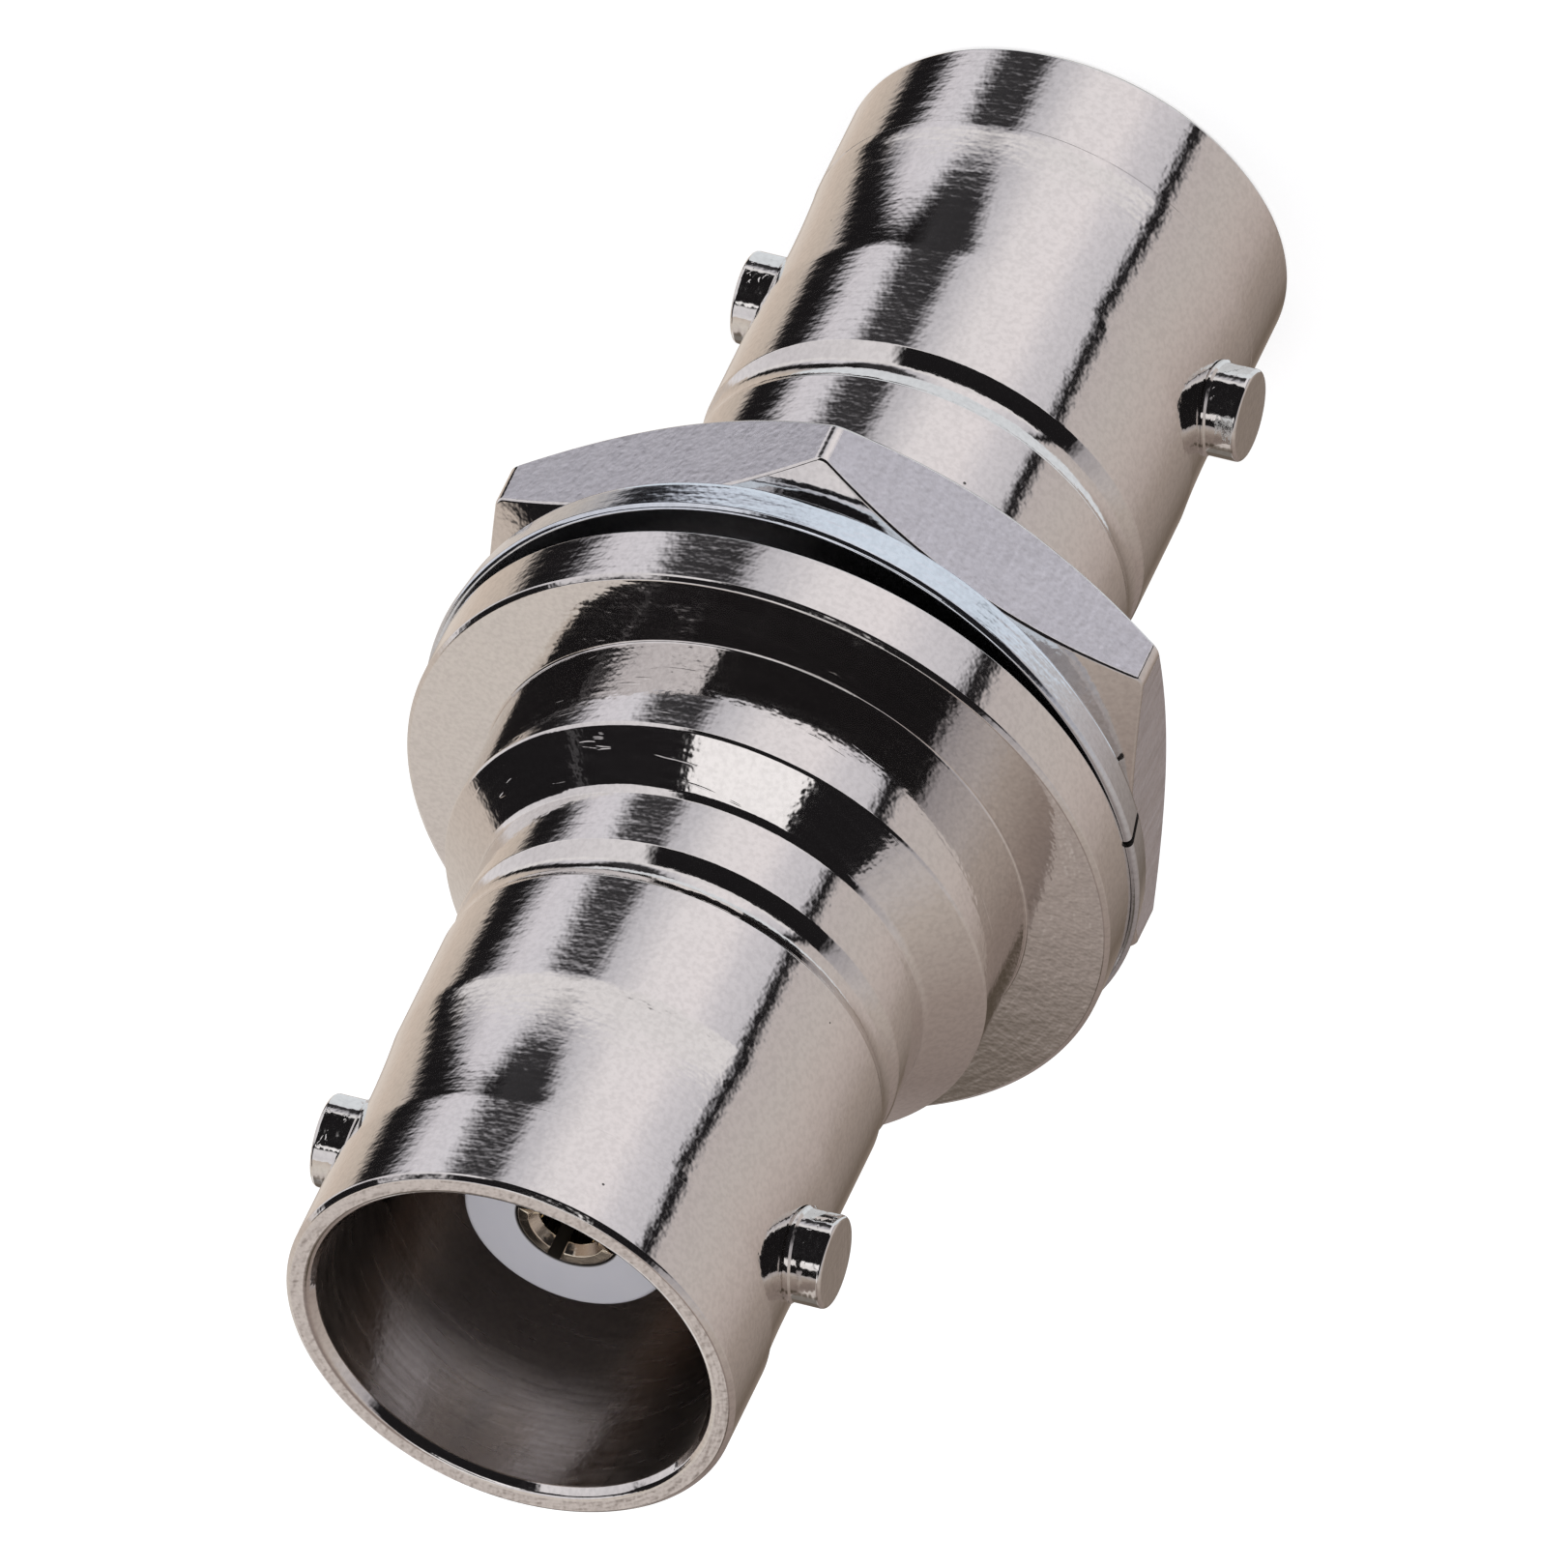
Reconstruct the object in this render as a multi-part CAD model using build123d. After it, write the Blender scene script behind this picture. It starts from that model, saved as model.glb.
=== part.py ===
from build123d import *
import os
from math import cos, radians, sin, tan

# Bayonet coaxial adapter for a panel: a jack at each end, with a flange, a split spring washer
# and a hexagon nut between them. Millimetres. The axis is Z. The far mouth stands on the plane
# z = 0 and the near mouth faces up, and the bayonet studs point along +X and -X.

# Whole adapter
overall_length = 32.8

# Jack shell, the same at both ends. Depths count from the mouth inwards
tube_r = 4.825
rim_chamfer = 0.1
mouth_r = 4.35
mouth_chamfer_depth = 0.35
entry_r = 4.21
entry_depth = 3.0
bore_r = 4.05
bore_depth = 8.8
waist_start = 2.2
waist_end = 5.95
waist_sag = 0.07
groove_start = 8.65
groove_width = 0.9
groove_depth = 0.3
groove_slope = 0.22
web_thickness = 1.4

# Bayonet studs
stud_r = 0.975
stud_tip_r = 5.5
stud_depth = 4.15
stud_tip_chamfer = 0.08
stud_press_gap = 0.005

# Neck, hub and flange of the main body. Depths count from the near mouth
neck_end = 10.95
hub_r = 5.85
hub_edge = 0.12
flange_front = 14.35
flange_thickness = 1.4
flange_inside_washer = 0.15
flange_edge = 0.15

# Threaded shank at its outside diameter, and the pieces that it carries
thread_r = 6.35
thread_chamfer = 0.3
thread_past_nut = 0.7
nut_flat_inside_washer = 0.75
nut_thickness = 2.35
nut_running_gap = 0.03
nut_face_inside_flat = 0.15
nut_chamfer_angle = 30
nut_bore_chamfer = 0.2
nut_turn = 26.5
washer_thickness = 1.5
washer_width = 1.25
washer_sliding_gap = 0.15
washer_round = 0.5
washer_round_steps = 2
split_width = 0.3
split_slant = 25
split_turn = 9

# Spigot of the rear barrel, pressed into the shank
spigot_r = 4.45
spigot_press_gap = 0.01

# Insulators
nose_r = 2.25
nose_depth = 3.4
nose_edge = 0.1
nose_gap = 0.02
insulator_r = 3.5
insulator_gap = 0.02

# Centre contact, a socket at both ends
contact_r = 1.1
contact_gap = 0.02
socket_r = 0.68
socket_depth = 5.0
socket_lead_r = 0.84
socket_lead_depth = 0.2
slot_width = 0.28
slot_depth = 4.3
slot_turn = 70
collar_r = 1.7
collar_width = 1.2

# Sizes that follow from the ones above
groove_end = groove_start + groove_width
web_end = bore_depth + web_thickness
middle_z = overall_length / 2
washer_inner_r = thread_r + washer_sliding_gap
washer_outer_r = washer_inner_r + washer_width
flange_r = washer_outer_r - flange_inside_washer
nut_flat_r = washer_outer_r - nut_flat_inside_washer
nut_face_r = nut_flat_r - nut_face_inside_flat
flange_top_z = overall_length - flange_front
flange_bottom_z = flange_top_z - flange_thickness
nut_top_z = flange_bottom_z - washer_thickness
nut_bottom_z = nut_top_z - nut_thickness
shank_end_z = nut_bottom_z - thread_past_nut


def near(depth):
    """Height of a point that lies this deep behind the near mouth."""
    return overall_length - depth


def far(depth):
    """Height of a point that lies this deep behind the far mouth."""
    return depth


def turned(outline):
    """Solid turned about Z from a closed outline drawn as radius and height."""
    return revolve(Plane.XZ * make_face(outline), Axis.Z)


def disc(radius, low, high):
    """Plain round bar between two heights."""
    return Pos(0, 0, (low + high) / 2) * Cylinder(radius, abs(high - low))


def jack_side(height):
    """Outside line of a jack shell, from its rim to the end of its groove."""
    rim = Polyline(
        (mouth_r, height(0)),
        (tube_r - rim_chamfer, height(0)),
        (tube_r, height(rim_chamfer)),
        (tube_r, height(waist_start)),
    )
    waist = ThreePointArc(
        (tube_r, height(waist_start)),
        (tube_r - waist_sag, height((waist_start + waist_end) / 2)),
        (tube_r, height(waist_end)),
    )
    land = Line((tube_r, height(waist_end)), (tube_r, height(groove_start)))
    groove = Polyline(
        (tube_r, height(groove_start)),
        (tube_r - groove_depth, height(groove_start + groove_slope)),
        (tube_r - groove_depth, height(groove_end - groove_slope)),
        (tube_r, height(groove_end)),
    )
    return rim + waist + land + groove


def jack_hollow(height):
    """Space inside a jack: the mouth, the bore, the hole in the web and the insulator's seat."""
    mouth = turned(
        Polyline(
            (0, height(0)),
            (mouth_r, height(0)),
            (entry_r, height(mouth_chamfer_depth)),
            (entry_r, height(entry_depth)),
            (bore_r, height(entry_depth)),
            (bore_r, height(bore_depth)),
            (0, height(bore_depth)),
            close=True,
        )
    )
    web_hole = disc(nose_r + nose_gap, height(bore_depth), height(web_end))
    seat = disc(insulator_r + insulator_gap, height(web_end), middle_z)
    return mouth + web_hole + seat


def stud_holes(height):
    """Pair of holes through a jack's wall that the studs are pressed into."""
    hole = Cylinder(stud_r + stud_press_gap, 2 * stud_tip_r)
    return Pos(0, 0, height(stud_depth)) * Rot(0, 90, 0) * hole


def main_body():
    """Near jack, neck, cone, hub, flange and threaded shank, turned as one piece."""
    below_groove = Polyline(
        (tube_r, near(groove_end)),
        (tube_r, near(neck_end)),
        (hub_r - hub_edge, near(neck_end + hub_r - tube_r - hub_edge)),
        (hub_r, near(neck_end + hub_r - tube_r + hub_edge)),
        (hub_r, flange_top_z),
        (flange_r - flange_edge, flange_top_z),
        (flange_r, flange_top_z - flange_edge),
        (flange_r, flange_bottom_z),
        (thread_r, flange_bottom_z),
        (thread_r, shank_end_z + thread_chamfer),
        (thread_r - thread_chamfer, shank_end_z),
        (0, shank_end_z),
        (0, near(0)),
        (mouth_r, near(0)),
    )
    spigot_seat = disc(spigot_r + spigot_press_gap, shank_end_z, middle_z)
    outside = turned(jack_side(near) + below_groove)
    return outside - jack_hollow(near) - spigot_seat - stud_holes(near)


def rear_barrel():
    """Far jack and its neck, with the spigot that is pressed into the shank."""
    above_groove = Polyline(
        (tube_r, far(groove_end)),
        (tube_r, shank_end_z),
        (spigot_r, shank_end_z),
        (spigot_r, middle_z),
        (0, middle_z),
        (0, far(0)),
        (mouth_r, far(0)),
    )
    outside = turned(jack_side(far) + above_groove)
    return outside - jack_hollow(far) - stud_holes(far)


def stud(height, side):
    """Bayonet pin in a jack's wall, cut flush with the bore. Side is 1 for +X and -1 for -X."""
    pin = turned(
        Polyline(
            (0, 0),
            (stud_r, 0),
            (stud_r, stud_tip_r - stud_tip_chamfer),
            (stud_r - stud_tip_chamfer, stud_tip_r),
            (0, stud_tip_r),
            close=True,
        )
    )
    placed = Pos(0, 0, height(stud_depth)) * Rot(0, 90 * side, 0) * pin
    return placed - disc(bore_r, height(0), height(bore_depth))


def insulator(height):
    """Dielectric with a nose in the jack's mouth and a wide body between web and middle."""
    outside = turned(
        Polyline(
            (0, height(nose_depth)),
            (nose_r - nose_edge, height(nose_depth)),
            (nose_r, height(nose_depth + nose_edge)),
            (nose_r, height(web_end)),
            (insulator_r, height(web_end)),
            (insulator_r, middle_z),
            (0, middle_z),
            close=True,
        )
    )
    contact_hole = disc(contact_r + contact_gap, height(nose_depth), middle_z)
    half_recess = collar_width / 2 + contact_gap
    collar_recess = disc(collar_r + contact_gap, middle_z - half_recess, middle_z + half_recess)
    return outside - contact_hole - collar_recess


def socket_cut(height):
    """Hole for the plug's pin, with its lead-in and two crossed slots that leave four fingers."""
    hole = turned(
        Polyline(
            (0, height(nose_depth)),
            (socket_lead_r, height(nose_depth)),
            (socket_r, height(nose_depth + socket_lead_depth)),
            (socket_r, height(nose_depth + socket_depth)),
            (0, height(nose_depth + socket_depth)),
            close=True,
        )
    )
    slot = Box(3 * contact_r, slot_width, slot_depth)
    centre = Pos(0, 0, height(nose_depth + slot_depth / 2))
    return hole + centre * Rot(0, 0, slot_turn) * slot + centre * Rot(0, 0, slot_turn + 90) * slot


def centre_contact():
    """Double-ended socket with a collar that the two insulators hold between them."""
    bar = disc(contact_r, far(nose_depth), near(nose_depth))
    collar = disc(collar_r, middle_z - collar_width / 2, middle_z + collar_width / 2)
    return bar + collar - socket_cut(far) - socket_cut(near)


def lock_washer():
    """Spring washer with rounded outer edges and one slanting split, pressed flat."""
    inner = [(washer_inner_r, 0), (washer_inner_r, washer_thickness)]
    turns = [radians(90 * step / washer_round_steps) for step in range(washer_round_steps + 1)]
    quarter = [(washer_round * sin(turn), washer_round * cos(turn)) for turn in turns]
    middle_r = washer_outer_r - washer_round
    top = [(middle_r + x, washer_thickness - washer_round + y) for x, y in quarter]
    bottom = [(middle_r + x, washer_round - y) for x, y in reversed(quarter)]
    ring = Pos(0, 0, nut_top_z) * turned(Polyline(*inner, *top, *bottom, close=True))
    middle = Vector((washer_inner_r + washer_outer_r) / 2, 0, nut_top_z + washer_thickness / 2)
    blade = Box(2 * washer_width, split_width, 3 * washer_thickness)
    return ring - Rot(0, 0, split_turn) * Pos(middle) * Rot(split_slant, 0, 0) * blade


def hex_nut():
    """Hexagon nut with both faces turned down at the corners."""
    hexagon = RegularPolygon(nut_flat_r, 6, major_radius=False, rotation=nut_turn)
    blank = Pos(0, 0, nut_bottom_z) * extrude(hexagon, nut_thickness)
    reach = 2 * nut_flat_r - nut_face_r
    rise = reach * tan(radians(nut_chamfer_angle))
    turned_faces = turned(
        Polyline(
            (0, nut_bottom_z),
            (nut_face_r, nut_bottom_z),
            (nut_face_r + reach, nut_bottom_z + rise),
            (nut_face_r + reach, nut_top_z - rise),
            (nut_face_r, nut_top_z),
            (0, nut_top_z),
            close=True,
        )
    )
    bore_r_nut = thread_r + nut_running_gap
    bore = disc(bore_r_nut, nut_bottom_z, nut_top_z)
    nut = (blank & turned_faces) - bore
    bore_edges = [e for e in nut.edges().filter_by(GeomType.CIRCLE) if e.radius < bore_r_nut + 0.01]
    return chamfer(bore_edges, nut_bore_chamfer)


parts = {
    "main_body": main_body(),
    "rear_barrel": rear_barrel(),
    "near_insulator": insulator(near),
    "far_insulator": insulator(far),
    "centre_contact": centre_contact(),
    "lock_washer": lock_washer(),
    "hex_nut": hex_nut(),
}
for end, height in (("near", near), ("far", far)):
    for hand, side in (("right", 1), ("left", -1)):
        parts[f"{end}_stud_{hand}"] = stud(height, side)

os.makedirs("parts", exist_ok=True)
for name, shape in parts.items():
    export_step(shape, f"parts/{name}.step")
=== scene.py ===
"""Looks of a bayonet coaxial adapter for a panel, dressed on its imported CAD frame."""

from math import atan2, cos, pi, radians, sin, tan

import bmesh
import bpy
import numpy as np
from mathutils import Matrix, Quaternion, Vector


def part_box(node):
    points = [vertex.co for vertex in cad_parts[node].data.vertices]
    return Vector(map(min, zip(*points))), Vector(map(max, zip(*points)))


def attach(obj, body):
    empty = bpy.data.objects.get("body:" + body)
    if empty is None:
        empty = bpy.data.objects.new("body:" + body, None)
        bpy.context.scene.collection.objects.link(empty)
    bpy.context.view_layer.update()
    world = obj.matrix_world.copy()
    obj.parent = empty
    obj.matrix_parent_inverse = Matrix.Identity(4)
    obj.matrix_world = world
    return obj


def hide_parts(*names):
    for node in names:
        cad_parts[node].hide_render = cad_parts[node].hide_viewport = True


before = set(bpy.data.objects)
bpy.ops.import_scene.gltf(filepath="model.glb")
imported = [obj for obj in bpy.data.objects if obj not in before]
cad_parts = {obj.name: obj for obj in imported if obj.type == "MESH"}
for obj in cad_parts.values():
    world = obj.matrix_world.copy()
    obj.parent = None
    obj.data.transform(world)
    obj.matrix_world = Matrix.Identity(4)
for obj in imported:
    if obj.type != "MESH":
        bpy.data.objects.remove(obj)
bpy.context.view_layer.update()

# Lengths below are in millimetres, in the part's frame. The axis is Z and the near mouth is on top
mm = 0.001
X, Y, Z = 0, 1, 2


def low(node, axis):
    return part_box(node)[0][axis] / mm


def high(node, axis):
    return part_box(node)[1][axis] / mm


# Sizes that the frame holds
length = high("main_body", Z)
shank_end = low("main_body", Z)
flange_r = high("main_body", X)
tube_r = high("rear_barrel", X)
middle = high("rear_barrel", Z)
nut_bottom, nut_top = low("hex_nut", Z), high("hex_nut", Z)
washer_top, washer_r = high("lock_washer", Z), high("lock_washer", X)
stud_tip = high("near_stud_right", X)
stud_r = (high("near_stud_right", Z) - low("near_stud_right", Z)) / 2
stud_depth = length - (high("near_stud_right", Z) + low("near_stud_right", Z)) / 2
nose_depth = length - high("near_insulator", Z)
insulator_r = high("near_insulator", X)
collar_r = high("centre_contact", X)

# Jack shell, with depths from its mouth
rim_chamfer, rim_round = 0.1, 0.06
mouth_r, mouth_chamfer_depth, mouth_round = 4.35, 0.2, 0.16
entry_r, entry_depth, entry_round, entry_blend = 4.21, 3.0, 0.1, 1.0
bore_r, bore_depth, bore_floor_round = 4.05, 8.8, 0.15
waist_start, waist_end, waist_sag = 2.2, 5.95, 0.07
near_waist_step, far_waist_step = 0.05, 0.005
groove_start, groove_end, groove_sag = 8.63, 9.69, 0.14
web_end = 10.2
nose_hole_r, nose_hole_round, nose_gap = 2.27, 0.04, 0.02
seat_r = 3.52

# Neck, hub, flange and shank of the main body
neck_end, neck_round = 11.11, 0.25
cone_end, hub_r, hub_round = 11.97, 5.85, 0.12
flange_front_depth, flange_face_fall = 14.31, 0.09
flange_edge, flange_round, flange_back_round = 0.09, 0.06, 0.05
spigot_r, spigot_gap, spigot_round = 4.45, 0.01, 0.1
shank_end_round = 0.05

# Thread
thread_r, thread_pitch = 6.35, 25.4 / 28
thread_depth = 0.613 * thread_pitch
crest_share, flank_share, root_softness = 0.125, 0.708, 0.3
thread_chamfer, shank_root_r = 0.3, thread_r - 1.1 * thread_depth
thread_run_out, thread_top_gap, thread_last_gap = 0.5, 0.1, 0.02
rows_per_pitch = 20

# Nut and washer
nut_flat_r, nut_face_r = 7.0, 6.85
nut_chamfer_angle = radians(30)
nut_turn = radians(26.5)
nut_bore_r, nut_bore_chamfer = 6.38, 0.2
nut_corner_round, nut_edge_round, nut_flat_margin = 0.3, 0.05, 0.5
washer_inner_r, washer_inner_round = 6.5, 0.1
washer_thickness, washer_draft = 0.94, 0.14
washer_nut_round, washer_flange_round = 0.26, 0.12
split_width, split_slant, split_turn = 0.16, radians(10), radians(9)

# Studs
stud_foot_round, stud_tip_round, stud_bead, stud_proud = 0.02, 0.09, 0.045, 0.008

# Insulators and contact
insulator_round, nose_root_round, nose_round, contact_hole_round = 0.1, 0.03, 0.12, 0.05
contact_r, contact_gap, contact_tip_round = 1.1, 0.02, 0.07
# Radii over which the dielectric turns from painted shade, in the hole round the contact, to its own colour
hole_shade_radii = contact_r + 0.02, contact_r + 0.06
socket_r, socket_depth, socket_round = 0.68, 5.0, 0.03
socket_lead_r, socket_lead_depth, socket_lead_round = 0.84, 0.2, 0.05
slot_width, slot_depth, slot_turn = 0.28, 4.3, radians(70)
collar_width, collar_round = 1.2, 0.05

# Camera, at the photograph's angle. Degrees and millimetres
camera_azimuth, camera_elevation, camera_roll = 70.0, 38.677, -153.723
camera_aim = (-0.0431, 0.0157, 16.6616)
camera_distance = 1186.131
camera_lens = 1341.6
camera_sensor = 36.0
camera_reach_m = (0.05, 20.0)

# Columns round a turned piece, and rows over a rounding and a hollow
round_columns, insulator_columns, small_columns, washer_columns = 256, 192, 96, 360
fillet_steps, hollow_steps = 4, 16
nut_side_steps, nut_corner_steps = 36, 8

# A cap closes this narrow hole where an outline ends at the axis
pole_r = 0.02

# How near two places count as the same, and a step too small to see
same, hair = 0.01, 0.001


# Outlines and meshes

def right_of(angle):
    """Unit vector to the right of a direction, which is out of a solid drawn anticlockwise."""
    return np.array([sin(angle), -cos(angle)])


def heading(start, end):
    return atan2(end[1] - start[1], end[0] - start[0])


def profile(items, closed=True):
    """Points of a turned outline, with the outward normals before and after each of them.

    An item is a corner (radius, height, rounding), or a number: the sag of a hollow run between
    the corners beside it.
    """
    corners, sags = [], {}
    for item in items:
        if isinstance(item, tuple):
            corners.append(item)
        else:
            sags[len(corners) - 1] = item
    points, before, after = [], [], []

    def put(point, normal_before, normal_after):
        points.append(point)
        before.append(normal_before)
        after.append(normal_after)

    count = len(corners)
    for i, (radius, height, rounding) in enumerate(corners):
        here = np.array([radius, height])
        last, coming = np.array(corners[i - 1][:2]), np.array(corners[(i + 1) % count][:2])
        first_end = not closed and i == 0
        last_end = not closed and i == count - 1
        angle_in = heading(here, coming) if first_end else heading(last, here)
        angle_out = angle_in if last_end else heading(here, coming)
        turn = (angle_out - angle_in + pi) % (2 * pi) - pi
        if rounding and turn and not first_end and not last_end:
            side = 1 if turn > 0 else -1
            cut = rounding * tan(abs(turn) / 2)
            start = here - cut * np.array([cos(angle_in), sin(angle_in)])
            centre = start - side * rounding * right_of(angle_in)
            for step in range(fillet_steps + 1):
                normal = right_of(angle_in + turn * step / fillet_steps)
                put(centre + side * rounding * normal, normal, normal)
        else:
            put(here, right_of(angle_in), right_of(angle_out))
        if i in sags:
            add_hollow(put, here, coming, sags[i])
    return np.array(points), np.array(before), np.array(after)


def add_hollow(put, start, end, sag):
    """Points of a shallow hollow run, a parabola, between two corners."""
    out, run = right_of(heading(start, end)), end - start
    for step in range(1, hollow_steps):
        t = step / hollow_steps
        slope = run - out * sag * 4 * (1 - 2 * t)
        normal = right_of(atan2(slope[1], slope[0]))
        put(start + run * t - out * sag * 4 * t * (1 - t), normal, normal)


def around(flat, turns):
    """Rows of a turned surface, from pairs along the radius and the height."""
    flat = np.asarray(flat)
    rows = np.empty((len(flat), len(turns), 3))
    rows[..., X] = flat[:, :1] * np.cos(turns)
    rows[..., Y] = flat[:, :1] * np.sin(turns)
    rows[..., Z] = flat[:, 1:2]
    return rows


def full_circle(count):
    return np.arange(count) * 2 * pi / count


def radii(points):
    return np.hypot(points[:, X], points[:, Y])


def skin(name, rows, before, after, wrap_rows=True, wrap_columns=True, caps=(), surface=None):
    """Mesh object from rows of points, with exact normals on both sides of each row.

    caps are lists of (row, column) that close an end. surface gives the material numbers of a strip
    from the middle of the strip, as radius and height.
    """
    count, columns = rows.shape[:2]
    i = np.arange(count if wrap_rows else count - 1)[:, None]
    j = np.arange(columns if wrap_columns else columns - 1)[None, :]
    ring = [(i, j), (i, (j + 1) % columns), ((i + 1) % count, (j + 1) % columns), ((i + 1) % count, j)]
    ring = [(np.broadcast_to(a, (i.size, j.size)), np.broadcast_to(b, (i.size, j.size))) for a, b in ring]
    faces = np.stack([a * columns + b for a, b in ring], -1).reshape(-1, 4).tolist()
    sides = (after, after, before, before)
    normals = np.stack([side[a, b] for side, (a, b) in zip(sides, ring)], 2)
    loop_normals = normals.reshape(-1, 3).tolist()
    points = rows.reshape(-1, 3)
    materials = np.zeros((i.size, j.size), int)
    if surface:
        for strip in range(i.size):
            ends = rows[strip], rows[(strip + 1) % count]
            radius = sum(radii(end).mean() for end in ends) / 2
            height = sum(end[:, Z].mean() for end in ends) / 2
            materials[strip] = surface(radius, height)
    materials = materials.ravel().tolist()
    for cap in caps:
        face = [row * columns + column for row, column in cap]
        ends = points[face]
        area = np.cross(ends - ends[0], np.roll(ends, -1, 0) - ends[0]).sum(0)
        faces.append(face)
        materials.append(0)
        loop_normals += [(area / np.linalg.norm(area)).tolist()] * len(face)
    mesh = bpy.data.meshes.new(name)
    mesh.from_pydata((points * mm).tolist(), [], faces)
    mesh.polygons.foreach_set("use_smooth", [True] * len(faces))
    mesh.polygons.foreach_set("material_index", materials)
    mesh.normals_split_custom_set(loop_normals)
    mesh.update()
    piece = bpy.data.objects.new(name, mesh)
    bpy.context.scene.collection.objects.link(piece)
    return piece


def turned(name, items, surface=None, caps=(), closed=True, columns=round_columns):
    """Piece turned about Z from an outline."""
    points, before, after = profile(items, closed)
    turns = full_circle(columns)
    rows = around(points, turns)
    normals = [around(side, turns) for side in (before, after)]
    return skin(name, rows, *normals, wrap_rows=closed, caps=caps, surface=surface)


def dress(piece, body, slot, materials, *nodes):
    """Puts the materials on a piece, lets it ride on a body and stand for its CAD nodes."""
    for material in materials:
        piece.data.materials.append(material)
    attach(piece, body)
    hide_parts(*nodes)
    return piece


# The thread, shared by the shank and the nut

def thread_fall(turns, height):
    """How far the thread's surface lies under its crest, at an angle and a height."""
    phase = height / thread_pitch - turns / (2 * pi)
    across = np.abs(2 * (phase % 1) - 1)
    flank = np.clip((across - crest_share) / flank_share, 0, 1)
    return thread_depth * (flank - root_softness * np.sin(2 * pi * flank) / (2 * pi))


def shank_radius(turns, height):
    """Radius of the threaded shank, which runs out under the flange and is chamfered at its end."""
    fade = np.clip((washer_top - thread_top_gap - height) / thread_run_out, 0, 1)
    crest = np.minimum(thread_r, thread_r - thread_chamfer + height - shank_end)
    return np.minimum(thread_r - thread_fall(turns, height) * fade, crest)


def nut_radius(turns, height):
    """Radius of the nut's thread, with a chamfer at each face."""
    face = np.minimum(height - nut_bottom, nut_top - height)
    return np.maximum(nut_bore_r - thread_fall(turns, height), nut_bore_r + nut_bore_chamfer - face)


def threaded(radius_of, turns, heights, side):
    """Rows and normals of a threaded wall. Side is 1 for a shank and -1 for a bore."""
    t, z = np.meshgrid(turns, heights)
    small = 1e-4
    r = radius_of(t, z)
    r_t = (radius_of(t + small, z) - radius_of(t - small, z)) / (2 * small)
    r_z = (radius_of(t, z + small) - radius_of(t, z - small)) / (2 * small)
    rows = np.stack([r * np.cos(t), r * np.sin(t), z], -1)
    normals = np.stack([r * np.cos(t) + r_t * np.sin(t), r * np.sin(t) - r_t * np.cos(t), -r * r_z], -1)
    return rows, side * normals / np.linalg.norm(normals, axis=-1, keepdims=True)


# Pieces

def near(depth):
    return length - depth


def far(depth):
    return depth


def jack(height):
    """Outline of a jack from the inner end of its groove, round the rim and in to the insulator's seat."""
    step = near_waist_step if height is near else far_waist_step
    return [
        (tube_r, height(groove_end), 0),
        groove_sag,
        (tube_r, height(groove_start), 0),
        (tube_r, height(waist_end), 0),
        waist_sag,
        (tube_r - step, height(waist_start + step), 0),
        (tube_r, height(waist_start), 0),
        (tube_r, height(rim_chamfer), rim_round),
        (tube_r - rim_chamfer, height(0), rim_round),
        (mouth_r, height(0), mouth_round),
        (entry_r, height(mouth_chamfer_depth), entry_round),
        (bore_r, height(entry_depth), entry_blend),
        (bore_r, height(bore_depth), bore_floor_round),
        (nose_hole_r, height(bore_depth), nose_hole_round),
        (nose_hole_r, height(web_end), 0),
        (seat_r, height(web_end), 0),
    ]


def body_surface(radius, height):
    """Material number: 1 on the walls inside a jack, 2 under the flange, where dark dull nickel paints the
    shade in the gap over the washer, and 0 elsewhere.
    """
    # Painted shade: the flange's underside gets dark dull nickel, partly for its plain bearing face and
    # partly for the shade in the gap over the washer
    if abs(height - washer_top) < same and radius > thread_r:
        return 2
    inside = radius < entry_r + same and abs(height - shank_end) > 10 * same
    return 1 if inside else 0


def main_body():
    """Near jack, neck, cone, hub, flange and threaded shank."""
    flange_top, flange_bottom = near(flange_front_depth), washer_top
    seat = spigot_r + spigot_gap
    items = [
        (thread_r, flange_bottom, 0),
        (flange_r, flange_bottom, flange_back_round),
        (flange_r, flange_top - flange_face_fall - flange_edge, flange_round),
        (flange_r - flange_edge, flange_top - flange_face_fall, flange_round),
        (hub_r, flange_top, flange_round),
        (hub_r, near(cone_end), hub_round),
        (tube_r, near(neck_end), neck_round),
        *jack(near),
        (seat_r, middle, 0),
        (seat, middle, 0),
        (seat, shank_end, shank_end_round),
        (shank_root_r, shank_end, 0),
    ]
    points, before, after = profile(items, closed=False)
    turns = full_circle(round_columns)
    rows, into, out = (around(side, turns) for side in (points, before, after))
    heights = np.arange(shank_end, flange_bottom - thread_last_gap, thread_pitch / rows_per_pitch)
    wall, normals = threaded(shank_radius, turns, heights, 1)
    wall_into = normals.copy()
    wall_into[0] = (0, 0, -1)
    into[0] = around([[1, 0]], turns)[0]
    return skin("turned_body", np.concatenate([rows, wall]), np.concatenate([into, wall_into]),
                np.concatenate([out, normals]), surface=body_surface)


def rear_barrel():
    """Far jack and neck, with the spigot that is pressed into the shank."""
    items = [
        (seat_r, middle, 0),
        *reversed(jack(far)),
        (tube_r, shank_end, rim_round),
        (spigot_r, shank_end, 0),
        (spigot_r, middle, spigot_round),
    ]
    return turned("turned_rear_barrel", items, surface=body_surface)


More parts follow.
